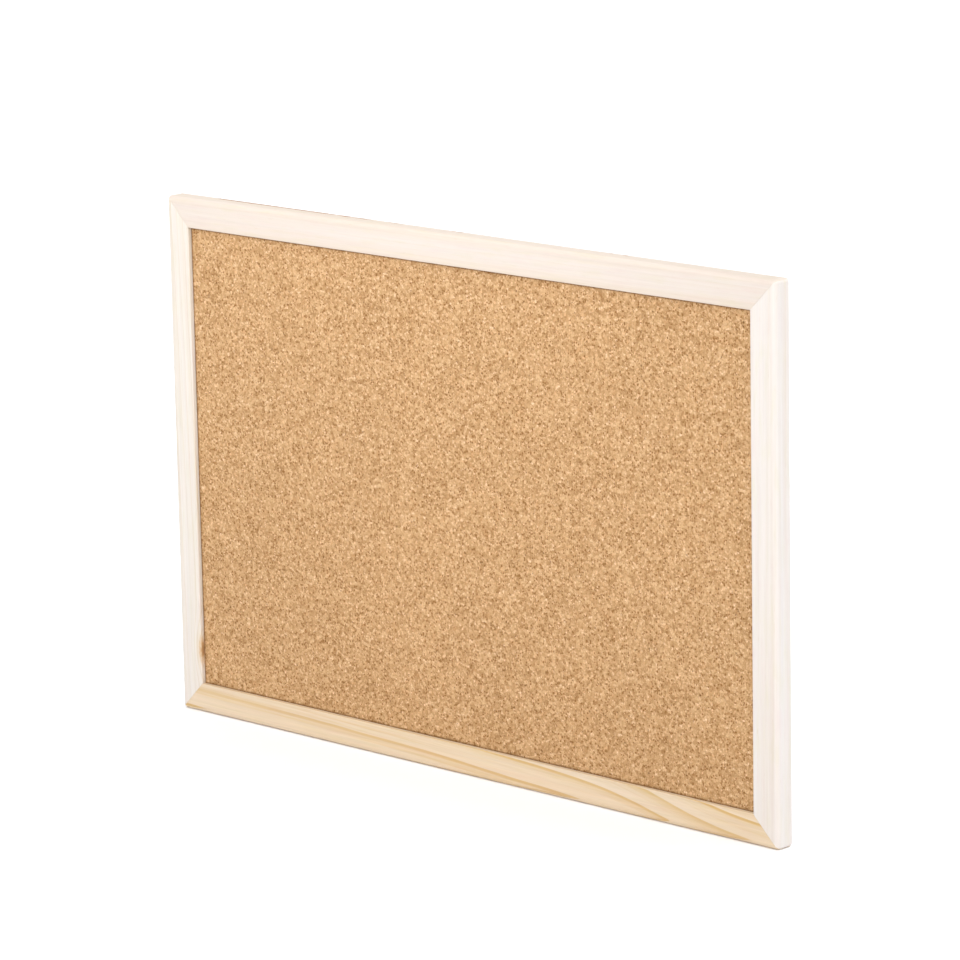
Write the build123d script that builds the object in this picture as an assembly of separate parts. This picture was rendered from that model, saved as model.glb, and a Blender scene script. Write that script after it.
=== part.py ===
from build123d import *
import math
import os

# A wall-hung cork bulletin board: four mitred pine rails round a cork-faced panel.
# Millimetres. +Z is up, the cork faces -Y, and the wall is the plane Y = 0.
# The origin is the middle of the board's outline, on the wall.

# ---- Driving dimensions ----
BOARD_WIDTH = 900.0
BOARD_HEIGHT = 600.0
MOULDING_WIDTH = 34.0
MOULDING_DEPTH = 22.0
LIP_WIDTH = 8.0
LIP_THICKNESS = 5.0
OUTER_ARRIS_RADIUS = 6.0
INNER_ARRIS_RADIUS = 1.2
BACK_ARRIS_RADIUS = 0.8
CORNER_RADIUS = 4.5

CORK_THICKNESS = 3.0
SOFTBOARD_THICKNESS = 9.0
HARDBOARD_THICKNESS = 2.5
PANEL_CLEARANCE = 0.5

BUMPER_HEIGHT = 5.0
BUMPER_BASE_RADIUS = 6.5
BUMPER_TIP_RADIUS = 5.0
BUMPER_EDGE_RADIUS = 0.8
BUMPER_ABOVE_BOTTOM = 60.0

NAIL_SHEET = 0.5
NAIL_LEG = 6.5
NAIL_HALF_ANGLE = 52.0
NAIL_DEPTH = 10.0
NAIL_SUNK = 0.3
NAIL_PLACES = (8.0, 17.5)

POINT_LENGTH = 15.0
POINT_WIDTH = 5.6
POINT_THICKNESS = 0.5
POINT_EMBEDDED = 6.5
POINT_TIP = 2.5
POINTS_ON_LONG_SIDE = 6
POINTS_ON_SHORT_SIDE = 4
POINTS_END_MARGIN = 75.0

WIRE_RADIUS = 0.9
PIVOT_CLEARANCE = 0.08
PIVOT_HEIGHT = 2.2
RING_HALF_WIDTH = 8.5
RING_SIDE = 4.5
RING_CORNER_RADIUS = 2.2
RING_BUTT_GAP = 0.3
HANGER_BELOW_TOP = 110.0

STRAP_WIDTH = 10.0
STRAP_SHEET = 0.8
STRAP_LENGTH = 26.0
STRAP_END_ROUNDING = 0.9
STRAP_HOLE_RADIUS = 2.0

SCREW_BELOW_PIVOT = 19.5
SCREW_HEAD_RADIUS = 3.6
SCREW_HEAD_HEIGHT = 2.0
SCREW_CORE_RADIUS = 1.25
SCREW_THREAD_RADIUS = 1.75
SCREW_PITCH = 1.5
SCREW_LENGTH = 14.0
SCREW_PLAIN = 4.0
SCREW_POINT_LENGTH = 2.0
SCREW_HEAD_ROUNDING = 0.6
SCREW_FIT = 0.05
SCREW_RECESS_RADIUS = 1.9
SCREW_RECESS_DEPTH = 1.3
SCREW_SLOT_WIDTH = 0.9

# ---- Derived places ----
BACK_Y = -BUMPER_HEIGHT
FRONT_Y = BACK_Y - MOULDING_DEPTH
CORK_FRONT_Y = FRONT_Y + LIP_THICKNESS
CORK_BACK_Y = CORK_FRONT_Y + CORK_THICKNESS
SOFTBOARD_BACK_Y = CORK_BACK_Y + SOFTBOARD_THICKNESS
HARDBOARD_BACK_Y = SOFTBOARD_BACK_Y + HARDBOARD_THICKNESS
HALF_WIDTH = BOARD_WIDTH / 2
HALF_HEIGHT = BOARD_HEIGHT / 2
BACK_BAND = MOULDING_WIDTH - LIP_WIDTH
PANEL_WIDTH = BOARD_WIDTH - 2 * BACK_BAND - 2 * PANEL_CLEARANCE
PANEL_HEIGHT = BOARD_HEIGHT - 2 * BACK_BAND - 2 * PANEL_CLEARANCE
HANGER_X = HALF_WIDTH - BACK_BAND / 2
PIVOT_Z = HALF_HEIGHT - HANGER_BELOW_TOP
PIVOT_Y = BACK_Y + PIVOT_HEIGHT
EYE_RADIUS = WIRE_RADIUS + PIVOT_CLEARANCE


def box_between(low, high):
    """A box from its lowest to its highest corner."""
    size = [b - a for a, b in zip(low, high)]
    middle = [(a + b) / 2 for a, b in zip(low, high)]
    return Pos(*middle) * Box(*size)


# ---- Pine mouldings ----
def moulding_profile():
    """The moulding's section for the bottom rail: local x is depth from the front, local y is up from the outer edge."""
    outline = Polyline(
        (0, 0),
        (MOULDING_DEPTH, 0),
        (MOULDING_DEPTH, BACK_BAND),
        (LIP_THICKNESS, BACK_BAND),
        (LIP_THICKNESS, MOULDING_WIDTH),
        (0, MOULDING_WIDTH),
        close=True,
    )
    section = make_face(outline)
    corners = section.vertices()
    outer_front = corners.sort_by_distance((0, 0))[0]
    section = fillet(outer_front, OUTER_ARRIS_RADIUS)
    inner_front = section.vertices().sort_by_distance((0, MOULDING_WIDTH))[0]
    section = fillet(inner_front, INNER_ARRIS_RADIUS)
    outer_back = section.vertices().sort_by_distance((MOULDING_DEPTH, 0))[0]
    return fillet(outer_back, BACK_ARRIS_RADIUS)


def straight_moulding(length, distance):
    """A moulding along X, its outer edge at -distance, before its mitres are cut."""
    plane = Plane(origin=(-length / 2, FRONT_Y, -distance), x_dir=(0, 1, 0), z_dir=(1, 0, 0))
    return extrude(plane * moulding_profile(), amount=length)


def mitred(moulding, length, distance):
    """The moulding between the two 45 degree planes that meet its outer corners."""
    inner = length / 2 - MOULDING_WIDTH
    outline = Polyline(
        (-length / 2, -distance),
        (length / 2, -distance),
        (inner, -distance + MOULDING_WIDTH),
        (-inner, -distance + MOULDING_WIDTH),
        close=True,
    )
    plane = Plane(origin=(0, FRONT_Y - 1, 0), x_dir=(1, 0, 0), z_dir=(0, -1, 0))
    keep = extrude(plane * make_face(outline), amount=-(MOULDING_DEPTH + 2))
    return moulding & keep


def softened_outline():
    """A block with the board's outline and its four slightly rounded corners."""
    plane = Plane(origin=(0, FRONT_Y - 1, 0), x_dir=(1, 0, 0), z_dir=(0, -1, 0))
    outline = RectangleRounded(BOARD_WIDTH, BOARD_HEIGHT, CORNER_RADIUS)
    return extrude(plane * outline, amount=-(MOULDING_DEPTH + 2))


def rail(length, distance, turn):
    """One mitred moulding, turned about Y to its side of the frame."""
    straight = mitred(straight_moulding(length, distance), length, distance)
    return (Rot(0, turn, 0) * straight) & softened_outline()


# ---- Panel layers ----
def panel_layer(front, back):
    """One layer of the panel that lies in the rebate."""
    half_w = PANEL_WIDTH / 2
    half_h = PANEL_HEIGHT / 2
    return box_between((-half_w, front, -half_h), (half_w, back, half_h))


# ---- Steel corner nails ----
def corner_nail():
    """One V-nail at the origin: its apex on the mitre, its legs spread towards -45 degrees on both sides."""
    legs = []
    for side in (-1, 1):
        leg = Pos(NAIL_LEG / 2, 0) * Rectangle(NAIL_LEG, NAIL_SHEET)
        legs.append(Rot(0, 0, side * NAIL_HALF_ANGLE) * leg)
    apex = Circle(NAIL_SHEET / 2)
    return legs[0] + legs[1] + apex


def corner_nails(side_x, side_z):
    """The V-nails of one corner, sunk just under the frame's back."""
    plane = Plane(origin=(0, BACK_Y - NAIL_SUNK, 0), x_dir=(1, 0, 0), z_dir=(0, -1, 0))
    inward = math.degrees(math.atan2(-side_z, -side_x))
    nails = []
    for place in NAIL_PLACES:
        x = side_x * (HALF_WIDTH - place)
        z = side_z * (HALF_HEIGHT - place)
        sketch = Pos(x, z) * Rot(0, 0, inward) * corner_nail()
        nails.append(extrude(plane * sketch, amount=NAIL_DEPTH))
    return nails


# ---- Steel framing points ----
def framing_point():
    """One point lying flat: its tip is driven towards -Z past the rebate wall at Z = 0."""
    half = POINT_WIDTH / 2
    free = POINT_LENGTH - POINT_EMBEDDED
    outline = Polyline(
        (-half, free),
        (-half, POINT_TIP - POINT_EMBEDDED),
        (0, -POINT_EMBEDDED),
        (half, POINT_TIP - POINT_EMBEDDED),
        (half, free),
        close=True,
    )
    plane = Plane(origin=(0, HARDBOARD_BACK_Y, 0), x_dir=(1, 0, 0), z_dir=(0, -1, 0))
    return extrude(plane * make_face(outline), amount=-POINT_THICKNESS)


def framing_points(length, distance, count, turn):
    """The points of one side, evenly spaced along its rebate wall."""
    span = length - 2 * BACK_BAND - 2 * POINTS_END_MARGIN
    points = []
    for i in range(count):
        x = -span / 2 + span * i / (count - 1)
        points.append(Rot(0, turn, 0) * Pos(x, 0, -distance + BACK_BAND) * framing_point())
    return points


# ---- Hangers ----
def ring_path():
    """The ring's centreline below its bar: up to the bar's butt joint from both sides."""
    half = RING_HALF_WIDTH
    r = RING_CORNER_RADIUS
    gap = RING_BUTT_GAP / 2
    low = -RING_SIDE
    bar_left = Line((-gap, 0), (-half + r, 0))
    corner_left = RadiusArc((-half + r, 0), (-half, -r), -r)
    side_left = Line((-half, -r), (-half, low))
    bottom = ThreePointArc((-half, low), (0, low - half), (half, low))
    side_right = Line((half, low), (half, -r))
    corner_right = RadiusArc((half, -r), (half - r, 0), -r)
    bar_right = Line((half - r, 0), (gap, 0))
    return Wire([bar_left, corner_left, side_left, bottom, side_right, corner_right, bar_right])


def d_ring(x):
    """The wire ring hanging straight down from its bar in the strap's eye."""
    plane = Plane(origin=(x, PIVOT_Y, PIVOT_Z), x_dir=(1, 0, 0), z_dir=(0, -1, 0))
    path = plane * ring_path()
    start = Plane(origin=path @ 0, z_dir=path % 0)
    return sweep(start * Circle(WIRE_RADIUS), path=path)


def strap_section():
    """The strap from the side: local x is out from the frame's back, local y is up from the pivot."""
    flat = Pos(STRAP_SHEET / 2, -STRAP_LENGTH / 2) * Rectangle(STRAP_SHEET, STRAP_LENGTH)
    eye = Pos(PIVOT_HEIGHT, 0) * Circle(EYE_RADIUS + STRAP_SHEET)
    bore = Pos(PIVOT_HEIGHT, 0) * Circle(EYE_RADIUS)
    return flat + eye - bore


def hanger_strap(x):
    """The steel strap whose curled end holds the ring's bar."""
    half = STRAP_WIDTH / 2
    plane = Plane(origin=(x - half, BACK_Y, PIVOT_Z), x_dir=(0, 1, 0), z_dir=(1, 0, 0))
    strap = extrude(plane * strap_section(), amount=STRAP_WIDTH)
    top = EYE_RADIUS + 2 * STRAP_SHEET
    outline = Pos(0, (top - STRAP_LENGTH) / 2) * Rectangle(STRAP_WIDTH, top + STRAP_LENGTH)
    ends = outline.vertices().group_by(Axis.Y)[0]
    face = Plane(origin=(x, BACK_Y, PIVOT_Z), x_dir=(1, 0, 0), z_dir=(0, -1, 0))
    keep = extrude(face * fillet(ends, half * STRAP_END_ROUNDING), amount=-BUMPER_HEIGHT)
    return (strap & keep) - screw_clearance(x)


def screw_axis(x):
    """The screw's place: its origin on the frame's back, its axis pointing out of the wood."""
    return Plane(origin=(x, BACK_Y, PIVOT_Z - SCREW_BELOW_PIVOT), x_dir=(1, 0, 0), z_dir=(0, 1, 0))


def screw_clearance(x):
    """The hole that the screw passes through in its strap."""
    return extrude(screw_axis(x) * Circle(STRAP_HOLE_RADIUS), amount=STRAP_SHEET * 2, both=True)


def screw_pilot(x):
    """The hole that the screw fills in its stile."""
    depth = SCREW_LENGTH - STRAP_SHEET + SCREW_FIT
    return extrude(screw_axis(x) * Circle(SCREW_THREAD_RADIUS + SCREW_FIT), amount=-depth)


def screw_outline():
    """Half of the screw's section: local x is the radius, local y is up its axis from the frame's back."""
    tip = STRAP_SHEET - SCREW_LENGTH
    top = STRAP_SHEET + SCREW_HEAD_HEIGHT
    points = [(0, tip)]
    turns = int((SCREW_LENGTH - SCREW_PLAIN) / SCREW_PITCH)
    for i in range(turns):
        low = tip + SCREW_POINT_LENGTH + i * SCREW_PITCH
        points.append((SCREW_CORE_RADIUS, low))
        points.append((SCREW_THREAD_RADIUS, low + SCREW_PITCH / 2))
    points.append((SCREW_CORE_RADIUS, low + SCREW_PITCH))
    points.append((SCREW_CORE_RADIUS, STRAP_SHEET))
    points.append((SCREW_HEAD_RADIUS, STRAP_SHEET))
    points.append((SCREW_HEAD_RADIUS, top))
    points.append((0, top))
    section = make_face(Polyline(*points, close=True))
    rim = section.vertices().sort_by_distance((SCREW_HEAD_RADIUS, top))[0]
    return fillet(rim, SCREW_HEAD_HEIGHT * SCREW_HEAD_ROUNDING)


def hanger_screw(x):
    """The pan-head wood screw that holds a strap, with a cross recess."""
    body = revolve(Plane.XZ * screw_outline(), axis=Axis.Z)
    top = STRAP_SHEET + SCREW_HEAD_HEIGHT
    recess = Box(SCREW_RECESS_RADIUS * 2, SCREW_SLOT_WIDTH, SCREW_RECESS_DEPTH)
    recess += Rot(0, 0, 90) * recess
    body -= Pos(0, 0, top - SCREW_RECESS_DEPTH / 2) * recess
    return screw_axis(x).location * body


# ---- Wall bumpers ----
def wall_bumper(x):
    """A rubber bumper on the back of a stile, its tip on the wall."""
    section = make_face(
        Polyline(
            (0, 0),
            (BUMPER_BASE_RADIUS, 0),
            (BUMPER_TIP_RADIUS, BUMPER_HEIGHT),
            (0, BUMPER_HEIGHT),
            close=True,
        )
    )
    rim = section.vertices().sort_by_distance((BUMPER_TIP_RADIUS, BUMPER_HEIGHT))[0]
    body = revolve(Plane.XZ * fillet(rim, BUMPER_EDGE_RADIUS), axis=Axis.Z)
    place = Plane(
        origin=(x, BACK_Y, -HALF_HEIGHT + BUMPER_ABOVE_BOTTOM),
        x_dir=(1, 0, 0),
        z_dir=(0, 1, 0),
    )
    return place.location * body


# ---- The whole board ----
def make_parts():
    """Every piece by its node's name: one solid, or a list of identical ones."""
    wide = (BOARD_WIDTH, HALF_HEIGHT)
    tall = (BOARD_HEIGHT, HALF_WIDTH)
    long_points = POINTS_ON_LONG_SIDE
    short_points = POINTS_ON_SHORT_SIDE
    rails = {
        "bottom_rail": rail(*wide, 0),
        "top_rail": rail(*wide, 180),
        "left_stile": rail(*tall, 90),
        "right_stile": rail(*tall, -90),
    }
    parts = {
        "cork_sheet": panel_layer(CORK_FRONT_Y, CORK_BACK_Y),
        "softboard_core": panel_layer(CORK_BACK_Y, SOFTBOARD_BACK_Y),
        "hardboard_back": panel_layer(SOFTBOARD_BACK_Y, HARDBOARD_BACK_Y),
        "corner_nails_bottom_left": corner_nails(-1, -1),
        "corner_nails_bottom_right": corner_nails(1, -1),
        "corner_nails_top_left": corner_nails(-1, 1),
        "corner_nails_top_right": corner_nails(1, 1),
        "framing_points_bottom": framing_points(*wide, long_points, 0),
        "framing_points_top": framing_points(*wide, long_points, 180),
        "framing_points_left": framing_points(*tall, short_points, 90),
        "framing_points_right": framing_points(*tall, short_points, -90),
    }
    for side, x in (("left", -HANGER_X), ("right", HANGER_X)):
        parts["hanger_strap_" + side] = hanger_strap(x)
        parts["hanger_screw_" + side] = hanger_screw(x)
        parts["d_ring_" + side] = d_ring(x)
        parts["wall_bumper_" + side] = wall_bumper(x)
        rails[side + "_stile"] -= screw_pilot(x)
    driven = [name for name in parts if name.startswith(("corner_nails", "framing_points"))]
    for name in rails:
        for steel in driven:
            if shares_side(name, steel):
                for piece in parts[steel]:
                    rails[name] -= piece
    parts.update(rails)
    return parts


def shares_side(rail_name, steel_name):
    """True if a rail can hold any of this group's steel, by the side in both names."""
    return rail_name.split("_")[0] in steel_name.split("_")


def main():
    os.makedirs("parts", exist_ok=True)
    for name, shape in make_parts().items():
        whole = Compound(shape) if isinstance(shape, list) else shape
        export_step(whole, "parts/" + name + ".step")


main()
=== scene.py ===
import math

import bmesh
import bpy
import numpy as np
from mathutils import Matrix, Vector


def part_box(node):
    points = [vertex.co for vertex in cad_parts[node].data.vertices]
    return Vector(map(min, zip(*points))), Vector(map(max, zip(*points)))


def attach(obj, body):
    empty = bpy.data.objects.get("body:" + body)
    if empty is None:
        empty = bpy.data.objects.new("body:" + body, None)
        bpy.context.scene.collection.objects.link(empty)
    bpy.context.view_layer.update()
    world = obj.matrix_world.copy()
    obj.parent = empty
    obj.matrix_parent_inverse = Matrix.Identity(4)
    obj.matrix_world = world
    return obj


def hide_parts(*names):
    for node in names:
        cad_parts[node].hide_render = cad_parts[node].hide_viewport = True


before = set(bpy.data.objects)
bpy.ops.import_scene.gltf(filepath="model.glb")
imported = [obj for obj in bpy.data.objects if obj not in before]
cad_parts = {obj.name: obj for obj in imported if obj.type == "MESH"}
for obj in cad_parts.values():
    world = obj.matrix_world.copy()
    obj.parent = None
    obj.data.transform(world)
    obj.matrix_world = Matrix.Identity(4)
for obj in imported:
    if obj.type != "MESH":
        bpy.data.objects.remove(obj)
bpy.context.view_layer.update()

# A cork bulletin board in a mitred pine frame, in metres: +Z up, cork towards -Y, wall at Y = 0.

# ---- Sizes read from the frame ----
MM = 0.001
board_low = Vector((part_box("left_stile")[0].x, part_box("left_stile")[0].y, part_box("bottom_rail")[0].z))
board_high = Vector((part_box("right_stile")[1].x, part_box("left_stile")[1].y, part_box("top_rail")[1].z))
HALF_WIDTH = board_high.x
HALF_HEIGHT = board_high.z
FRONT_Y = board_low.y
DEPTH = board_high.y - FRONT_Y
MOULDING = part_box("left_stile")[1].x - board_low.x
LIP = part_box("cork_sheet")[0].y - FRONT_Y
PANEL_CLEARANCE = 0.5 * MM
BACK_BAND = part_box("cork_sheet")[0].x - board_low.x - PANEL_CLEARANCE

# ---- Edges of the moulding ----
OUTER_ARRIS = 6.0 * MM
INNER_ARRIS = 1.2 * MM
BACK_ARRIS = 0.8 * MM
REBATE_ARRIS = 0.25 * MM
CORNER_RADIUS = 4.5 * MM
MITRE_EASE = 0.22 * MM
STATION_STEP = 9.0 * MM
CORNER_REACH = 40.0 * MM
BEND_FROM = 0.75  # the share of CORNER_REACH after which a line bends round the outer corner
SLOT_CLEARANCE = 0.12 * MM
SLOT_CUTTER_RISE = 2.0 * MM
SANDING_DEPTH = 0.04 * MM


# ======== Material building ========
class Graph:
    """A material's nodes, laid by short calls that each give back a socket."""

    def __init__(self, name):
        self.material = bpy.data.materials.new(name)
        self.material.use_nodes = True
        self.tree = self.material.node_tree
        self.tree.nodes.clear()
        place = self.node("ShaderNodeTexCoord")
        self.place = place.outputs["Object"]

    def node(self, kind, inputs=None, **settings):
        """A new node with its settings made and its inputs fed."""
        made = self.tree.nodes.new(kind)
        for key, value in settings.items():
            setattr(made, key, value)
        for key, value in (inputs or {}).items():
            self.feed(made.inputs[key], value)
        return made

    def feed(self, socket, value):
        """A socket takes a link or a constant, and None leaves it as it is."""
        if isinstance(value, bpy.types.NodeSocket):
            self.tree.links.new(value, socket)
        elif value is not None:
            socket.default_value = value

    def maths(self, operation, a, b=None):
        return self.node("ShaderNodeMath", {0: a, 1: b}, operation=operation).outputs[0]

    def add(self, a, b):
        return self.maths("ADD", a, b)

    def times(self, a, b):
        return self.maths("MULTIPLY", a, b)

    def vector(self, operation, a, b):
        return self.node("ShaderNodeVectorMath", {0: a, 1: b}, operation=operation).outputs[0]

    def moved(self, vector, offset):
        return self.vector("ADD", vector, offset)

    def centred(self, vector):
        """A noise's colour output as a push either way, from -0.5 to 0.5."""
        return self.vector("SUBTRACT", vector, (0.5, 0.5, 0.5))

    def length(self, a):
        return self.node("ShaderNodeVectorMath", {0: a}, operation="LENGTH").outputs["Value"]

    def split(self, vector):
        return self.node("ShaderNodeSeparateXYZ", {0: vector}).outputs

    def join(self, x, y, z):
        return self.node("ShaderNodeCombineXYZ", {0: x, 1: y, 2: z}).outputs[0]

    def scaled(self, vector, factors):
        return self.vector("MULTIPLY", vector, factors)

    def noise(self, vector, scale=1.0, detail=2.0, roughness=0.5, distortion=0.0):
        inputs = {
            "Vector": vector,
            "Scale": scale,
            "Detail": detail,
            "Roughness": roughness,
            "Distortion": distortion,
        }
        return self.node("ShaderNodeTexNoise", inputs).outputs

    def cells(self, vector, scale, feature="F1"):
        inputs = {"Vector": vector, "Scale": scale}
        return self.node("ShaderNodeTexVoronoi", inputs, feature=feature).outputs

    def ramp(self, value, stops, interpolation="LINEAR"):
        made = self.node("ShaderNodeValToRGB", {0: value})
        ramp = made.color_ramp
        ramp.interpolation = interpolation
        while len(ramp.elements) < len(stops):
            ramp.elements.new(0.5)
        for element, (position, colour) in zip(ramp.elements, stops):
            element.position = position
            element.color = (*colour, 1.0)
        return made.outputs[0]

    def remap(self, value, low, high, to_low=0.0, to_high=1.0):
        inputs = {"Value": value, "From Min": low, "From Max": high, "To Min": to_low, "To Max": to_high}
        return self.node("ShaderNodeMapRange", inputs).outputs[0]

    def mix(self, factor, a, b, blend="MIX"):
        """Two colours mixed. The node's colour sockets are inputs 6 and 7 and output 2."""
        made = self.node("ShaderNodeMix", {0: factor}, data_type="RGBA", blend_type=blend)
        self.feed(made.inputs[6], self.colour(a))
        self.feed(made.inputs[7], self.colour(b))
        return made.outputs[2]

    def level(self, value):
        """The same number in all three channels."""
        return self.node("ShaderNodeCombineColor", {0: value, 1: value, 2: value}).outputs[0]

    def colour(self, value):
        """A plain red, green and blue gets its alpha, and a link stays as it is."""
        return (*value, 1.0) if isinstance(value, tuple) else value

    def bump(self, height, distance, strength):
        inputs = {"Height": height, "Distance": distance, "Strength": strength}
        return self.node("ShaderNodeBump", inputs).outputs[0]

    def finish(self, colour, roughness, normal=None, **constants):
        shader = self.node("ShaderNodeBsdfPrincipled")
        self.feed(shader.inputs["Base Color"], self.colour(colour))
        self.feed(shader.inputs["Roughness"], roughness)
        if normal is not None:
            self.feed(shader.inputs["Normal"], normal)
        for name, value in constants.items():
            shader.inputs[name.replace("_", " ")].default_value = value
        output = self.node("ShaderNodeOutputMaterial")
        self.tree.links.new(shader.outputs[0], output.inputs[0])
        return self.material


def grey(level):
    return (level, level, level)


# ======== Materials ========
def tinted(g, colour, factor):
    """A colour multiplied by a factor, which is a colour too."""
    return g.mix(1.0, colour, factor, "MULTIPLY")


def ring_phase(g, seeded, run, y, across, seed, cut, slope, uneven_years, sweep):
    """How many growth rings a place is from the start: near-flat sheets, bent a little along the rail."""
    bend = g.noise(g.scaled(seeded, (3.0, 14.0, 14.0)), 1.0, 3.0, 0.5)[1]
    bend = g.split(g.centred(bend))
    side = g.add(g.add(across, g.times(run, slope)), g.times(bend[0], 0.010))
    if sweep:
        centre, length, rise = sweep
        turn = g.maths("TANH", g.times(g.add(run, -centre), 0.5 / length))
        side = g.add(side, g.times(turn, 0.5 * rise))
    uneven = g.noise(g.join(g.times(side, 42.0), seed, g.times(run, 0.5)), 1.0, 2.0, 0.5)[0]
    side = g.add(side, g.times(g.add(uneven, -0.5), 0.012 * uneven_years))
    spacing, angle = cut
    facing = math.radians(angle)
    return g.add(g.times(side, math.cos(facing) / spacing), g.times(y, math.sin(facing) / spacing))


def late_wood_share(g, phase):
    """Pale early wood that darkens slowly through the year and stops short at its end."""
    stops = [
        (0.0, grey(0.0)),
        (0.45, grey(0.04)),
        (0.77, grey(0.30)),
        (0.89, grey(1.0)),
        (0.95, grey(0.95)),
        (0.985, grey(0.10)),
        (1.0, grey(0.0)),
    ]
    return g.ramp(g.maths("FRACT", phase), stops, "EASE")


def figured(g, colour, late, phase, run, seed, contrast):
    """Irregular darker and paler figure that follows the rings."""
    figure = g.noise(g.join(g.times(phase, 2.6), seed, g.times(run, 1.6)), 1.0, 4.0, 0.62)[0]
    colour = g.mix(g.remap(figure, 0.50, 0.72, 0.0, 0.55 * contrast), colour, late)
    paler = tinted(g, colour, (1.0, 1.02, 1.10))
    return g.mix(g.remap(figure, 0.50, 0.30, 0.0, 0.50 * contrast), colour, paler)


def banded(g, colour, seeded):
    """Broad pale and rosy bands, and a short mottle."""
    band = g.noise(g.scaled(seeded, (1.1, 60.0, 60.0)), 1.0, 3.0, 0.55)[0]
    colour = g.mix(g.remap(band, 0.32, 0.68), colour, tinted(g, colour, (0.985, 0.955, 0.905)))
    blush = g.noise(g.scaled(seeded, (1.8, 95.0, 95.0)), 1.0, 2.0, 0.5)[0]
    rosy = tinted(g, colour, (0.985, 0.945, 0.925))
    colour = g.mix(g.remap(blush, 0.50, 0.75, 0.0, 0.8), colour, rosy)
    mottle = g.noise(g.scaled(seeded, (22.0, 150.0, 150.0)), 1.0, 3.0, 0.6)[0]
    colour = g.mix(g.remap(mottle, 0.52, 0.70), colour, tinted(g, colour, (0.980, 0.985, 0.925)))
    return g.mix(g.remap(mottle, 0.48, 0.30), colour, tinted(g, colour, (0.995, 0.965, 0.975)))


def streaked(g, colour, seeded, fibre, contrast):
    """Streaks and fine fibre, stronger where the rings are."""
    swing = 0.018 + 0.030 * contrast
    streak = g.noise(g.scaled(seeded, (5.0, 330.0, 330.0)), 1.0, 3.0, 0.6)[0]
    fine = g.remap(fibre, 0.25, 0.75, 1 - swing, 1 + swing)
    return tinted(g, colour, g.level(g.add(fine, g.remap(streak, 0.3, 0.7, -swing, swing))))


def knot_distance(g, point, knot):
    """How far a place is from a knot's heart, in its own radii. knot is (along, depth, across, long
    radius, cross radius)."""
    away = g.vector("SUBTRACT", point, knot[:3])
    return g.length(g.scaled(away, (1 / knot[3], 1 / knot[4], 1 / knot[4])))


def knotted(g, colour, seeded, away):
    """A knot is amber, darker at its heart, inside a golden halo."""
    ragged = g.noise(g.scaled(seeded, (160.0, 420.0, 420.0)), 1.0, 3.0, 0.6)[0]
    inside = g.remap(g.add(away, g.times(ragged, 1.1)), 1.75, 1.05)
    heart = g.noise(g.scaled(seeded, (260.0, 260.0, 260.0)), 1.0, 3.0, 0.6)[0]
    core = g.add(g.remap(away, 0.9, 0.2), g.remap(heart, 0.3, 0.7, -0.25, 0.25))
    knot_colour = g.mix(core, (0.56, 0.345, 0.155), (0.340, 0.175, 0.070))
    golden = tinted(g, colour, (0.97, 0.87, 0.72))
    colour = g.mix(g.remap(away, 1.9, 0.9, 0.0, 0.65), colour, golden)
    return g.mix(g.times(inside, 0.95), colour, knot_colour)


def edged(g, colour, seeded, worn):
    """Arrises are painted a touch darker and warmer, a painted shade that tones down their highlight, and
    dust sits in the mitres.
    """
    joint = g.node("ShaderNodeAttribute", attribute_name="mitre").outputs["Fac"]
    # painted shade on the arrises, weighted by the arris attribute
    colour = g.mix(g.times(worn, 0.9), colour, tinted(g, colour, (0.985, 0.972, 0.955)))
    patchy = g.noise(g.scaled(seeded, (150.0, 150.0, 150.0)), 1.0, 2.0)[0]
    dust = g.times(joint, g.remap(patchy, 0.35, 0.65, 0.25, 0.8))
    return g.mix(dust, colour, (0.50, 0.38, 0.26))


def dark_back_edge(g, colour, seeded, run, y, across, dark_line_span):
    """A broken dark-brown line along the back edge, densest at its start; its span is given as (start, end)
    along the rail.
    """
    start, end = dark_line_span
    reach = g.noise(g.scaled(seeded, (48.0, 1.0, 1.0)), 1.0, 4.0, 0.7)[0]
    from_back = g.add(g.times(y, -1.0), FRONT_Y + DEPTH)
    near_back = g.remap(g.add(from_back, g.times(reach, -0.0050)), 0.0022, 0.0012)
    outside = g.remap(g.maths("ABSOLUTE", across), HALF_HEIGHT - 0.0016, HALF_HEIGHT - 0.0006)
    fade = g.times(g.remap(run, end, start), g.remap(run, start - 0.008, start))
    broken = g.remap(g.add(fade, g.times(reach, 1.6)), 0.95, 1.25)
    dark_line = g.times(g.times(near_back, outside), broken)
    shade = g.noise(g.scaled(seeded, (90.0, 900.0, 900.0)), 1.0, 2.0)[0]
    dark_line_colour = g.mix(g.remap(shade, 0.3, 0.7), (0.42, 0.215, 0.095), (0.20, 0.092, 0.038))
    return g.mix(g.times(dark_line, 0.92), colour, dark_line_colour)


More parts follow.
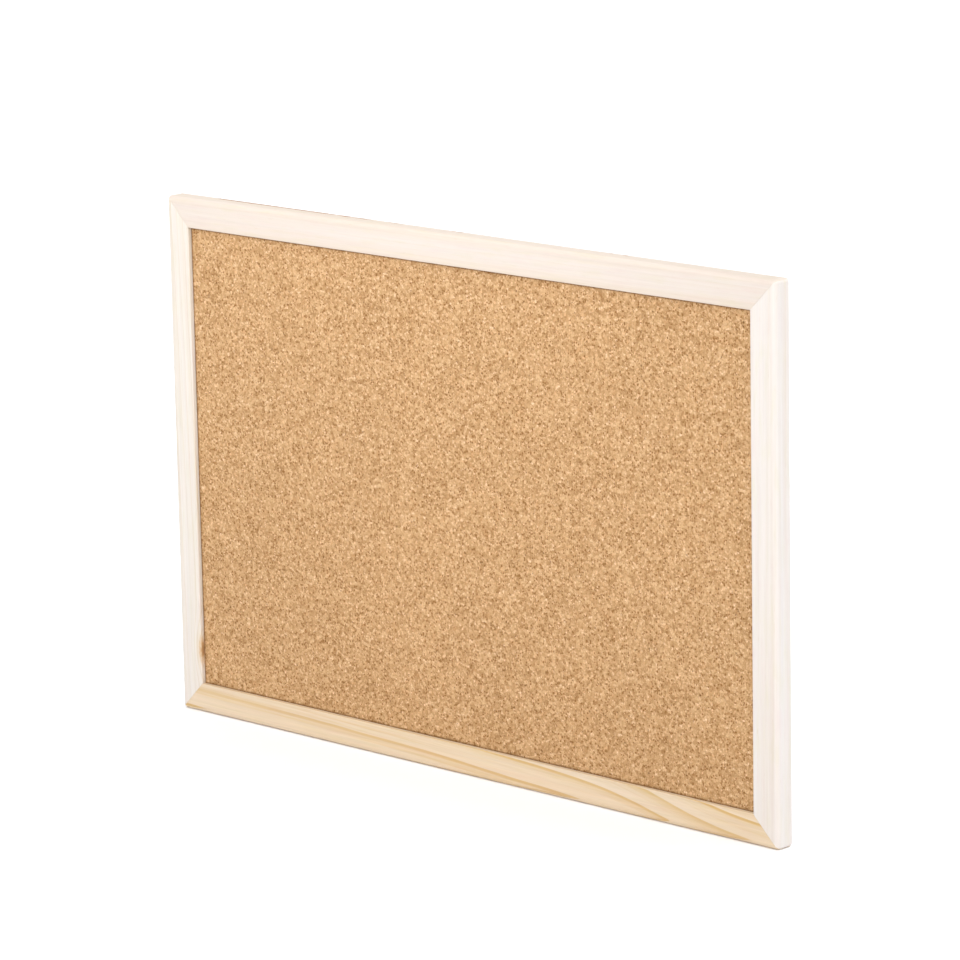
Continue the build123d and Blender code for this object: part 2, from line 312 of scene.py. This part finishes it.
def pine(name, along, seed, cut, slope, early, late, contrast, shift=0.0, uneven_years=1.0,
         sweep=None, knot=None, dark_line_span=None):
    """Planed bare pine. along is the grain's row axis. cut is (ring spacing, angle): the growth rings
    are square to the face at 0 degrees and parallel to it at 90. slope is how far the grain drifts
    across the rail for each metre along it, and sweep is a drift of its own (centre, length, rise).
    shift moves the rings by a part of one year. Places are in row metres."""
    g = Graph(name)
    x, y, z = (g.split(g.place)[i] for i in range(3))
    run, across = (x, z) if along == "X" else (z, x)
    point = g.join(run, y, across)
    seeded = g.moved(point, (seed * 1.7, seed * 0.9, seed * 2.3))

    phase = ring_phase(g, seeded, run, y, across, seed, cut, slope, uneven_years, sweep)
    if knot:
        away = knot_distance(g, point, knot)
        pushed = g.maths("EXPONENT", g.times(g.times(away, away), -0.22))
        phase = g.add(phase, g.times(pushed, 2.2))
    phase = g.add(phase, shift)
    late_wood = late_wood_share(g, phase)
    year = g.join(g.times(g.maths("FLOOR", phase), 7.31), seed, g.times(run, 1.4))
    strength = g.remap(g.noise(year, 1.0, 1.0)[0], 0.25, 0.65, 0.25, 1.0)
    rings = g.times(g.times(late_wood, strength), contrast)

    colour = g.mix(rings, early, late)
    colour = figured(g, colour, late, phase, run, seed, contrast)
    colour = banded(g, colour, seeded)
    fibre = g.noise(g.scaled(seeded, (22.0, 1500.0, 1500.0)), 1.0, 4.0, 0.65)[0]
    colour = streaked(g, colour, seeded, fibre, contrast)
    duct = g.noise(g.scaled(seeded, (85.0, 1900.0, 1900.0)), 1.0, 1.0, 0.5)[0]
    duct = g.times(g.remap(duct, 0.68, 0.80), g.add(g.times(late_wood, 0.6), 0.4))
    colour = g.mix(g.times(duct, 0.35), colour, (0.45, 0.28, 0.14))
    if knot:
        colour = knotted(g, colour, seeded, away)
    worn = g.node("ShaderNodeAttribute", attribute_name="arris").outputs["Fac"]
    # edged paints shade on the arrises by this arris weight
    colour = edged(g, colour, seeded, worn)
    if dark_line_span:
        colour = dark_back_edge(g, colour, seeded, run, y, across, dark_line_span)

    height = g.add(g.times(fibre, 0.6), g.add(g.times(late_wood, 0.35), g.times(duct, -0.8)))
    planed = g.noise(g.scaled(seeded, (11.0, 60.0, 60.0)), 1.0, 2.0)[0]
    normal = g.bump(g.add(height, g.times(planed, 1.2)), 0.00006, 0.8)
    smoother = g.add(g.times(rings, -0.05), g.times(worn, -0.06))
    roughness = g.add(g.remap(fibre, 0.3, 0.7, 0.50, 0.62), smoother)
    return g.finish(colour, roughness, normal, Specular_IOR_Level=0.18)


def granule_colours(g, place, grain, small):
    """Each granule's own brown, with dark dots painted as the shade in pits and pale dots painted as glints
    here and there.
    """
    shade = g.split(grain[1])[0]
    fine = g.split(small[1])[1]
    dots = g.cells(g.moved(place, (1.3, 2.9, 0.7)), DOTS)
    chance = g.split(dots[1])[0]
    spot = g.remap(dots[0], 0.50, 0.22)
    # painted shade and painted highlight: dark dots stand for shade in pits, pale dots for glints
    painted_pit_shade = g.times(g.remap(chance, 0.28, 0.20), spot)
    painted_glint = g.times(g.remap(chance, 0.74, 0.82), spot)
    value = g.add(g.times(shade, 0.63), g.times(fine, 0.22))
    value = g.add(g.add(value, 0.045), g.add(g.times(painted_pit_shade, -0.80), g.times(painted_glint, 0.40)))
    browns = [
        (0.00, (0.262, 0.122, 0.040)),
        (0.20, (0.400, 0.226, 0.096)),
        (0.44, (0.520, 0.314, 0.149)),
        (0.60, (0.575, 0.357, 0.177)),
        (0.80, (0.655, 0.425, 0.232)),
        (0.98, (0.780, 0.545, 0.345)),
    ]
    colour = g.ramp(value, browns)
    # Some granules lean to orange and some to olive.
    hue = g.split(grain[1])[2]
    orange = tinted(g, colour, (1.08, 0.95, 0.86))
    colour = g.mix(g.remap(hue, 0.72, 1.0, 0.0, 0.35), colour, orange)
    olive = tinted(g, colour, (0.95, 0.99, 0.90))
    return g.mix(g.remap(hue, 0.28, 0.0, 0.0, 0.35), colour, olive)


def painted_lip_shade(g, colour):
    """Painted shade where the sheet goes under the frame's lip: a dark, ragged band painted all round the
    opening.
    """
    x, _, z = (g.split(g.place)[i] for i in range(3))
    from_side = g.add(g.times(g.maths("ABSOLUTE", x), -1.0), HALF_WIDTH - MOULDING)
    from_rail = g.add(g.times(g.maths("ABSOLUTE", z), -1.0), HALF_HEIGHT - MOULDING)
    margin = g.maths("MINIMUM", from_side, from_rail)
    ragged = g.times(g.noise(g.place, 240.0, 2.0)[0], 0.0022)
    # painted shade: the cork is darkened within about 2 mm of the lip, standing in for the crevice's shadow
    lip_shade_band = g.remap(g.add(margin, g.times(ragged, -1.0)), 0.0016, -0.0004)
    return g.mix(g.times(lip_shade_band, 0.72), colour, (0.150, 0.072, 0.028))


def cork():
    """Fine agglomerated cork: granules of several sizes and shades pressed with a little binder."""
    g = Graph("cork_agglomerate")
    wobble = g.centred(g.noise(g.place, 520.0, 3.0, 0.7)[1])
    place = g.moved(g.place, g.scaled(wobble, (0.0030, 0.0030, 0.0030)))
    grain = g.cells(place, GRANULES)
    small = g.cells(place, FINES)
    colour = granule_colours(g, place, grain, small)
    # Binder and shade in the seams between granules.
    seam = g.remap(g.cells(place, GRANULES, "DISTANCE_TO_EDGE")[0], 0.0, 0.13, 1.0, 0.0)
    fine_seam = g.remap(g.cells(place, FINES, "DISTANCE_TO_EDGE")[0], 0.0, 0.12, 1.0, 0.0)
    broken = g.remap(g.noise(g.place, 300.0, 2.0, 0.6)[0], 0.38, 0.62, 0.05, 0.50)
    colour = g.mix(g.times(seam, broken), colour, (0.24, 0.120, 0.048))
    colour = g.mix(g.times(fine_seam, 0.10), colour, (0.26, 0.140, 0.060))
    # Bark specks.
    speck = g.cells(g.moved(place, (3.1, 1.7, 0.4)), SPECKS)
    dark = g.times(g.remap(g.split(speck[1])[0], 0.940, 0.950), g.remap(speck[0], 0.36, 0.24))
    colour = g.mix(g.times(dark, 0.62), colour, (0.13, 0.060, 0.022))
    # painted shade along the frame's lip
    colour = painted_lip_shade(g, colour)
    # Slow mottling over the whole sheet.
    mottle = g.noise(g.place, 26.0, 4.0, 0.6)[0]
    cloud = g.noise(g.place, 5.0, 3.0, 0.5)[0]
    mottling = g.add(g.remap(mottle, 0.3, 0.7, 0.985, 1.015), g.remap(cloud, 0.3, 0.7, -0.02, 0.02))
    colour = tinted(g, colour, g.level(mottling))
    shade = g.split(grain[1])[0]
    fine = g.split(small[1])[1]
    height = g.add(g.times(shade, 0.5), g.add(g.times(fine, 0.25), g.times(seam, -0.8)))
    height = g.add(height, g.add(g.times(fine_seam, -0.3), g.times(dark, -0.8)))
    roughness = g.remap(shade, 0.0, 1.0, 0.95, 0.80)
    return g.finish(colour, roughness, g.bump(height, 0.00020, 0.6), Specular_IOR_Level=0.2)


def softboard():
    """Pressed soft wood fibre."""
    g = Graph("softboard_fibre")
    felt = g.noise(g.scaled(g.place, (500.0, 1400.0, 500.0)), 1.0, 5.0, 0.7, 1.5)[0]
    blotch = g.noise(g.place, 60.0, 3.0)[0]
    colour = g.mix(g.remap(felt, 0.3, 0.7), (0.30, 0.215, 0.13), (0.50, 0.39, 0.26))
    colour = g.mix(g.remap(blotch, 0.35, 0.65, 0.0, 0.3), colour, (0.40, 0.30, 0.19))
    return g.finish(colour, 0.95, g.bump(felt, 0.0002, 0.8), Specular_IOR_Level=0.2)


HARDBOARD_WEAVE = 1.6 * MM


def hardboard():
    """Brown hardboard with its screen side out: a fine woven imprint, flecks and rubs."""
    g = Graph("hardboard_screen")
    x, _, z = (g.split(g.place)[i] for i in range(3))
    pitch = 2 * math.pi / HARDBOARD_WEAVE
    drift = g.times(g.noise(g.place, 40.0, 2.0)[0], 0.9)
    over = g.maths("SINE", g.add(g.times(x, pitch), drift))
    under = g.maths("SINE", g.add(g.times(z, pitch), drift))
    weave = g.times(over, under)
    fleck = g.noise(g.scaled(g.place, (700.0, 700.0, 700.0)), 1.0, 4.0, 0.7)[0]
    long_fibre = g.noise(g.scaled(g.place, (120.0, 900.0, 620.0)), 1.0, 3.0, 0.6, 2.0)[0]
    blotch = g.noise(g.place, 9.0, 5.0, 0.6)[0]
    colour = g.mix(g.remap(fleck, 0.3, 0.7), (0.135, 0.066, 0.030), (0.300, 0.165, 0.082))
    colour = g.mix(g.remap(long_fibre, 0.58, 0.72, 0.0, 0.6), colour, (0.40, 0.25, 0.14))
    colour = g.mix(g.remap(blotch, 0.35, 0.65, 0.0, 0.4), colour, (0.17, 0.085, 0.040))
    colour = g.mix(g.remap(weave, -1.0, 1.0, 0.28, 0.0), colour, (0.085, 0.040, 0.018))
    rub = g.remap(g.noise(g.scaled(g.place, (14.0, 14.0, 55.0)), 1.0, 4.0, 0.7)[0], 0.60, 0.74, 0.0, 0.35)
    colour = g.mix(rub, colour, (0.36, 0.235, 0.14))
    height = g.add(g.times(weave, 0.5), g.times(fleck, 0.5))
    roughness = g.remap(blotch, 0.3, 0.7, 0.78, 0.62)
    return g.finish(colour, roughness, g.bump(height, 0.00012, 0.8), Specular_IOR_Level=0.35)


def rolled_steel():
    """Bare rolled strip: faint rolling lines, oil bloom and a few rust freckles."""
    g = Graph("rolled_steel")
    line = g.noise(g.scaled(g.place, (2600.0, 2600.0, 260.0)), 1.0, 3.0, 0.6)[0]
    bloom = g.noise(g.place, 240.0, 3.0, 0.6)[0]
    freckle = g.remap(g.noise(g.place, 900.0, 3.0, 0.7)[0], 0.66, 0.74)
    colour = g.mix(g.remap(bloom, 0.3, 0.7), (0.40, 0.40, 0.41), (0.60, 0.59, 0.57))
    colour = g.mix(g.times(freckle, 0.6), colour, (0.26, 0.12, 0.05))
    roughness = g.add(g.remap(bloom, 0.3, 0.7, 0.30, 0.45), g.times(line, 0.12))
    return g.finish(colour, roughness, g.bump(line, 0.00002, 0.6), Metallic=1.0)


def plated_steel(name, tint):
    """Bright nickel or zinc plate with fine tumbling scratches and a dull film in patches."""
    g = Graph(name)
    scratch = g.noise(g.scaled(g.place, (4200.0, 700.0, 1500.0)), 1.0, 4.0, 0.7, 1.0)[0]
    film = g.noise(g.place, 420.0, 3.0, 0.6)[0]
    worn = g.remap(g.noise(g.place, 1300.0, 2.0)[0], 0.62, 0.75)
    dull = tuple(0.72 * c for c in tint)
    colour = g.mix(g.remap(film, 0.3, 0.7), tint, dull)
    colour = g.mix(g.times(worn, 0.3), colour, (0.42, 0.38, 0.33))
    roughness = g.add(g.remap(film, 0.3, 0.7, 0.16, 0.30), g.times(scratch, 0.10))
    return g.finish(colour, roughness, g.bump(scratch, 0.000015, 0.5), Metallic=1.0)


def bumper_rubber():
    """Moulded black rubber, dusty in patches."""
    g = Graph("bumper_rubber")
    grain = g.noise(g.place, 2600.0, 3.0, 0.6)[0]
    dust = g.noise(g.place, 520.0, 4.0, 0.65)[0]
    colour = g.mix(g.remap(dust, 0.48, 0.72, 0.0, 0.6), (0.018, 0.018, 0.019), (0.075, 0.070, 0.064))
    roughness = g.remap(dust, 0.3, 0.7, 0.48, 0.72)
    return g.finish(colour, roughness, g.bump(grain, 0.00003, 0.7), Specular_IOR_Level=0.4)


# ======== Pine rails ========
def arc(centre, radius, start, end, steps):
    """Points of an arc in the section, angles in degrees, both ends included."""
    points = []
    for k in range(steps + 1):
        angle = math.radians(start + (end - start) * k / steps)
        points.append((centre[0] + radius * math.cos(angle), centre[1] + radius * math.sin(angle)))
    return points


def straight(start, end, steps):
    """Points between two section points, both ends left out."""
    points = []
    for k in range(1, steps):
        t = k / steps
        points.append((start[0] + (end[0] - start[0]) * t, start[1] + (end[1] - start[1]) * t))
    return points


def moulding_section():
    """The section as (depth, inset) points in order, with how worn each one is."""
    outer = arc((OUTER_ARRIS, OUTER_ARRIS), OUTER_ARRIS, 180, 270, 12)
    back = arc((DEPTH - BACK_ARRIS, BACK_ARRIS), BACK_ARRIS, 270, 360, 4)
    rebate = arc((DEPTH - REBATE_ARRIS, BACK_BAND - REBATE_ARRIS), REBATE_ARRIS, 0, 90, 2)
    inner = arc((INNER_ARRIS, MOULDING - INNER_ARRIS), INNER_ARRIS, 90, 180, 5)
    corners = [
        (outer, 1.0),
        (back, 0.6),
        (rebate, 0.4),
        ([(LIP, BACK_BAND)], 0.0),
        ([(LIP, MOULDING)], 0.0),
        (inner, 0.8),
    ]
    steps = [5, 6, 3, 3, 2, 10]
    section = []
    for k, (points, worn) in enumerate(corners):
        following = corners[(k + 1) % len(corners)][0]
        section += [(p, worn) for p in points]
        section += [(p, 0.0) for p in straight(points[-1], following[0], steps[k])]
    return section


def section_normals(section):
    """Each section point's outward direction, from the run through its neighbours."""
    count = len(section)
    normals = []
    for k in range(count):
        before = Vector(section[k - 1][0])
        after = Vector(section[(k + 1) % count][0])
        along = (after - before).normalized()
        normals.append(Vector((along.y, -along.x)))
    return normals


def line_end(inset, t):
    """A moulding line's (distance from the corner, inset) near its mitre, t going from 0 to 1."""
    if inset >= CORNER_RADIUS:
        return CORNER_REACH + (inset - CORNER_REACH) * t, inset
    if t <= BEND_FROM:
        return CORNER_REACH + (CORNER_RADIUS - CORNER_REACH) * t / BEND_FROM, inset
    angle = math.radians(45) * (t - BEND_FROM) / (1 - BEND_FROM)
    radius = CORNER_RADIUS - inset
    return CORNER_RADIUS - radius * math.sin(angle), CORNER_RADIUS - radius * math.cos(angle)


def rail_stations(half_length):
    """A rail's stations in order: (which end, t) near the mitres, and ("run", place) between them."""
    ends = [0.0, 0.35, 0.6, BEND_FROM, 0.82, 0.88, 0.94, 0.975, 0.99, 1.0]
    run = half_length - CORNER_REACH
    count = int(2 * run / STATION_STEP)
    middle = [("run", -run + 2 * run * k / count) for k in range(1, count)]
    first = [("low", t) for t in reversed(ends)]
    last = [("high", t) for t in ends]
    return first + middle + last


def rail_mesh(name, half_length, half_other, side, seed):
    """One moulding between its mitres. side is bottom, top, left or right."""
    section = moulding_section()
    normals = section_normals(section)
    rng = np.random.default_rng(seed)
    waves = [(rng.uniform(4, 40), rng.uniform(0, 6.3), rng.uniform(0.3, 1.0)) for _ in range(6)]
    bm = bmesh.new()
    arris = bm.verts.layers.float.new("arris")
    mitre = bm.verts.layers.float.new("mitre")
    rows = []
    for kind, value in rail_stations(half_length):
        row = []
        for k, ((depth, inset), worn) in enumerate(section):
            shrink = 0.0
            if kind == "run":
                along, inwards = value, inset
            else:
                away, inwards = line_end(inset, value)
                along = (half_length - away) * (1 if kind == "high" else -1)
                shrink = MITRE_EASE if value == 1.0 else 0.0
            sanded = sum(a * math.sin(f * along + p + 2.0 * inset / MOULDING) for f, p, a in waves)
            ease = -shrink + worn * SANDING_DEPTH * sanded
            depth = depth + normals[k].x * ease
            inwards = inwards + normals[k].y * ease
            vert = bm.verts.new(placed(side, along, depth, inwards, half_other))
            vert[arris] = worn
            vert[mitre] = 1.0 if shrink else 0.0
            row.append(vert)
        rows.append(row)
    count = len(section)
    for a, b in zip(rows, rows[1:]):
        for k in range(count):
            n = (k + 1) % count
            bm.faces.new((a[k], a[n], b[n], b[k]))
    bm.faces.new(rows[0])
    bm.faces.new(reversed(rows[-1]))
    bmesh.ops.recalc_face_normals(bm, faces=bm.faces)
    return to_object(bm, name, 32)


def placed(side, along, depth, inset, half_other):
    """A moulding's (along, depth, inset) in the row frame."""
    y = FRONT_Y + depth
    if side == "bottom":
        return (along, y, -half_other + inset)
    if side == "top":
        return (along, y, half_other - inset)
    if side == "left":
        return (-half_other + inset, y, along)
    return (half_other - inset, y, along)


def to_object(bm, name, sharp_degrees):
    """The finished mesh as an object, smooth but for edges sharper than this."""
    mesh = bpy.data.meshes.new(name)
    bm.to_mesh(mesh)
    bm.free()
    made = bpy.data.objects.new(name, mesh)
    bpy.context.scene.collection.objects.link(made)
    smooth(made, sharp_degrees)
    return made


def smooth(piece, sharp_degrees):
    """Shades a piece smooth but for its edges sharper than this."""
    mesh = piece.data
    mesh.polygons.foreach_set("use_smooth", [True] * len(mesh.polygons))
    mesh.set_sharp_from_angle(angle=math.radians(sharp_degrees))


def cut_nail_slots(piece, node):
    """Cuts the slots that a corner's steel nails were driven into, a hair wider than the nails."""
    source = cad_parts[node]
    bm = bmesh.new()
    bm.from_mesh(source.data)
    bmesh.ops.remove_doubles(bm, verts=bm.verts, dist=0.01 * MM)
    bmesh.ops.recalc_face_normals(bm, faces=bm.faces)
    bm.normal_update()
    top = max(v.co.y for v in bm.verts)
    moves = [(v, v.normal * SLOT_CLEARANCE) for v in bm.verts]
    for v, move in moves:
        high = v.co.y > top - 0.1 * MM
        v.co += Vector((move.x, 0.0, move.z))
        if high:
            v.co.y += SLOT_CUTTER_RISE
    cutter = to_object(bm, "slot_cutter", 30)
    change = piece.modifiers.new("slots", "BOOLEAN")
    change.operation = "DIFFERENCE"
    change.object = cutter
    change.solver = "EXACT"
    apply_modifiers(piece)
    bpy.data.objects.remove(cutter)


def apply_modifiers(piece):
    """Makes what a piece's modifiers do into its own mesh."""
    bpy.context.view_layer.update()
    graph = bpy.context.evaluated_depsgraph_get()
    made = bpy.data.meshes.new_from_object(piece.evaluated_get(graph))
    piece.modifiers.clear()
    old = piece.data
    piece.data = made
    bpy.data.meshes.remove(old)


# Each rail was cut from its own board, so each has its own grain and tint.
RAILS = {
    "top": dict(
        seed=3.0, cut=(0.0048, 40), slope=-0.012, shift=1.11, contrast=0.22, dark_line_span=(-0.378, -0.06),
        early=(0.632, 0.567, 0.514), late=(0.595, 0.496, 0.395),
    ),
    "bottom": dict(
        seed=7.0, cut=(0.0040, 79.5), slope=0.03, shift=2.59, contrast=1.0, uneven_years=0.35,
        sweep=(0.29, 0.045, 0.045),
        early=(0.670, 0.553, 0.412), late=(0.560, 0.372, 0.150),
    ),
    "left": dict(
        seed=11.0, cut=(0.0085, 30), slope=0.030, shift=0.90, contrast=0.75, uneven_years=0.4,
        knot=(-0.2255, -0.0230, -0.4155, 0.0150, 0.0060),
        early=(0.674, 0.636, 0.592), late=(0.605, 0.528, 0.425),
    ),
    "right": dict(
        seed=17.0, cut=(0.0060, 60), slope=-0.016, shift=6.29, contrast=0.30,
        early=(0.680, 0.650, 0.632), late=(0.635, 0.578, 0.512),
    ),
}


def make_rails():
    for side, timber in RAILS.items():
        lying = side in ("top", "bottom")
        node = side + ("_rail" if lying else "_stile")
        half_length, half_other = (HALF_WIDTH, HALF_HEIGHT) if lying else (HALF_HEIGHT, HALF_WIDTH)
        piece = rail_mesh("pine_" + node, half_length, half_other, side, int(timber["seed"]))
        for corner in ("top_left", "top_right", "bottom_left", "bottom_right"):
            if side in corner:
                cut_nail_slots(piece, "corner_nails_" + corner)
        smooth(piece, 32)
        material = pine("pine_" + side, "X" if lying else "Z", **timber)
        dress(piece, material)
        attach(piece, "board")
        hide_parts(node)


def dress(piece, material):
    """Gives a piece one material."""
    piece.data.materials.clear()
    piece.data.materials.append(material)


# ======== Cork sheet ========
GRANULES = 368.0
FINES = 900.0
DOTS = 350.0
SPECKS = 300.0
CORK_STEP = 2.6 * MM
CORK_RELIEF = 0.11 * MM
CORK_PIT = 0.28 * MM


def blurred(field, passes):
    """Each value averaged with its four neighbours, several times."""
    for _ in range(passes):
        beside = np.roll(field, 1, 0) + np.roll(field, -1, 0)
        field = (field + beside + np.roll(field, 1, 1) + np.roll(field, -1, 1)) / 5
    return field


def cork_heights(nx, nz):
    """The pressed granules' relief: granule-sized lumps, scattered pits and a slow unevenness."""
    rng = np.random.default_rng(5)
    lumps = blurred(rng.standard_normal((nx, nz)), 1)
    pits = blurred((rng.random((nx, nz)) > 0.985).astype(float), 1)
    slow = blurred(rng.standard_normal((nx, nz)), 60)
    slow /= np.abs(slow).max()
    return CORK_RELIEF * lumps / lumps.std() * 0.5 - CORK_PIT * pits + CORK_RELIEF * slow


def make_cork():
    low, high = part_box("cork_sheet")
    nx = int((high.x - low.x) / CORK_STEP)
    nz = int((high.z - low.z) / CORK_STEP)
    heights = cork_heights(nx + 1, nz + 1)
    bm = bmesh.new()
    grid = []
    for i in range(nx + 1):
        x = low.x + (high.x - low.x) * i / nx
        column = []
        for k in range(nz + 1):
            z = low.z + (high.z - low.z) * k / nz
            edge = i in (0, nx) or k in (0, nz)
            y = low.y + (0.0 if edge else max(0.0, CORK_RELIEF - float(heights[i, k])))
            column.append(bm.verts.new((x, y, z)))
        grid.append(column)
    for i in range(nx):
        for k in range(nz):
            bm.faces.new((grid[i][k], grid[i + 1][k], grid[i + 1][k + 1], grid[i][k + 1]))
    rim = [grid[i][0] for i in range(nx + 1)] + [grid[nx][k] for k in range(1, nz + 1)]
    rim += [grid[i][nz] for i in range(nx - 1, -1, -1)] + [grid[0][k] for k in range(nz - 1, 0, -1)]
    back = [bm.verts.new((v.co.x, high.y, v.co.z)) for v in rim]
    for k in range(len(rim)):
        n = (k + 1) % len(rim)
        bm.faces.new((rim[n], rim[k], back[k], back[n]))
    bm.faces.new(back)
    bmesh.ops.recalc_face_normals(bm, faces=bm.faces)
    piece = to_object(bm, "cork_surface", 60)
    dress(piece, cork())
    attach(piece, "board")
    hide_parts("cork_sheet")


# ======== Fixings and hangers ========
def bevelled_copy(node, name, width, segments, sharp_degrees):
    """A piece with the CAD node's shape, its edges broken as a press or a tumbler leaves them."""
    bm = bmesh.new()
    bm.from_mesh(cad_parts[node].data)
    bmesh.ops.remove_doubles(bm, verts=bm.verts, dist=0.002 * MM)
    bmesh.ops.recalc_face_normals(bm, faces=bm.faces)
    piece = to_object(bm, name, sharp_degrees)
    change = piece.modifiers.new("edges", "BEVEL")
    change.width = width
    change.segments = segments
    change.limit_method = "ANGLE"
    change.angle_limit = math.radians(40)
    change.use_clamp_overlap = True
    apply_modifiers(piece)
    smooth(piece, sharp_degrees)
    return piece


def finish_node(node, material):
    """A CAD node whose shape is right keeps it and takes a better material."""
    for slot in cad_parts[node].material_slots:
        slot.material = material


def make_hardware():
    strip = rolled_steel()
    nickel = plated_steel("nickel_plate", (0.83, 0.80, 0.74))
    zinc = plated_steel("zinc_plate", (0.74, 0.77, 0.80))
    rubber = bumper_rubber()
    for corner in ("top_left", "top_right", "bottom_left", "bottom_right"):
        finish_node("corner_nails_" + corner, strip)
    for side in ("top", "bottom", "left", "right"):
        node = "framing_points_" + side
        piece = bevelled_copy(node, "flat_points_" + side, 0.08 * MM, 1, 30)
        dress(piece, strip)
        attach(piece, "board")
        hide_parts(node)
    for side in ("left", "right"):
        strap = bevelled_copy("hanger_strap_" + side, "strap_" + side, 0.14 * MM, 2, 30)
        dress(strap, nickel)
        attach(strap, "board")
        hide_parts("hanger_strap_" + side)
        screw = bevelled_copy("hanger_screw_" + side, "screw_" + side, 0.06 * MM, 1, 30)
        dress(screw, zinc)
        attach(screw, "board")
        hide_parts("hanger_screw_" + side)
        finish_node("d_ring_" + side, nickel)
        finish_node("wall_bumper_" + side, rubber)


def make_boards():
    finish_node("softboard_core", softboard())
    finish_node("hardboard_back", hardboard())


# ======== Stage, light and camera ========
def aimed(data, place, target):
    """A light at a place, pointing at a target."""
    made = bpy.data.objects.new(data.name, data)
    bpy.context.scene.collection.objects.link(made)
    made.location = place
    made.rotation_euler = (Vector(target) - Vector(place)).to_track_quat("-Z", "Y").to_euler()


def round_lamp(name, place, target, cone, radius, power):
    """A big soft round lamp whose beam, cone degrees wide, fades all the way from middle to rim."""
    data = bpy.data.lights.new(name, "SPOT")
    data.spot_size = math.radians(cone)
    data.spot_blend = 1.0
    data.shadow_soft_size = radius
    data.energy = power
    data.color = (1.0, 0.998, 0.992)
    aimed(data, place, target)


def sun_light(name, azimuth, elevation, spread, strength):
    """A very large, very far softbox. azimuth turns from the board's front towards +X, in degrees."""
    data = bpy.data.lights.new(name, "SUN")
    data.energy = strength
    data.angle = math.radians(spread)
    turn, rise = math.radians(azimuth), math.radians(elevation)
    place = (math.sin(turn) * math.cos(rise), -math.cos(turn) * math.cos(rise), math.sin(rise))
    aimed(data, place, (0.0, 0.0, 0.0))


def make_floor():
    """A wide pale disc at the board's foot."""
    bm = bmesh.new()
    bmesh.ops.create_circle(bm, cap_ends=True, segments=96, radius=60.0)
    floor = to_object(bm, "floor", 30)
    floor.location.z = -HALF_HEIGHT
    g = Graph("pale_floor")
    speckle = g.noise(g.place, 35.0, 3.0)[0]
    level = g.level(g.remap(speckle, 0.3, 0.7, 0.982, 0.992))
    colour = tinted(g, level, (0.968, 0.973, 1.0))
    dress(floor, g.finish(colour, 0.9, Specular_IOR_Level=0.0))


def make_world():
    world = bpy.data.worlds.new("studio")
    bpy.context.scene.world = world
    world.use_nodes = True
    back = world.node_tree.nodes["Background"]
    back.inputs["Color"].default_value = (1.0, 1.0, 1.0, 1.0)
    back.inputs["Strength"].default_value = AMBIENT


AMBIENT = 0.465
CAMERA_AZIMUTH = 43.71
CAMERA_ELEVATION = 12.43
CAMERA_ROLL = -1.09
CAMERA_AIM = (0.0327, FRONT_Y, 0.0364)
CAMERA_DISTANCE = 5.339
CAMERA_LENS = 185.74


def make_camera():
    data = bpy.data.cameras.new("camera")
    data.lens = CAMERA_LENS
    data.sensor_width = 36.0
    data.clip_start = 0.05
    data.clip_end = 200.0
    made = bpy.data.objects.new("camera", data)
    bpy.context.scene.collection.objects.link(made)
    azimuth = math.radians(CAMERA_AZIMUTH)
    elevation = math.radians(CAMERA_ELEVATION)
    back = Vector(
        (
            math.sin(azimuth) * math.cos(elevation),
            -math.cos(azimuth) * math.cos(elevation),
            math.sin(elevation),
        )
    )
    made.location = Vector(CAMERA_AIM) + back * CAMERA_DISTANCE
    upright = (-back).to_track_quat("-Z", "Y").to_matrix()
    roll = Matrix.Rotation(math.radians(CAMERA_ROLL), 3, "Z")
    made.rotation_euler = (upright @ roll).to_euler()
    bpy.context.scene.camera = made


def make_lights():
    round_lamp("key", (-0.6, -2.6, 1.7), (-0.09, FRONT_Y, 0.57), 37.0, 0.5, 154.0)
    round_lamp("side_fill", (3.1, -0.4, 1.3), (HALF_WIDTH, 0.0, 0.6), 37.0, 0.5, 36.0)
    sun_light("right_softbox", 42.0, 30.0, 40.0, 1.6)
    sun_light("ceiling_softbox", 43.0, 84.0, 70.0, 1.35)
    sun_light("back_softbox", 172.0, 46.0, 60.0, 1.05)
    bpy.context.scene.view_settings.view_transform = "Standard"


make_camera()
make_rails()
make_cork()
make_boards()
make_hardware()
make_floor()
make_world()
make_lights()
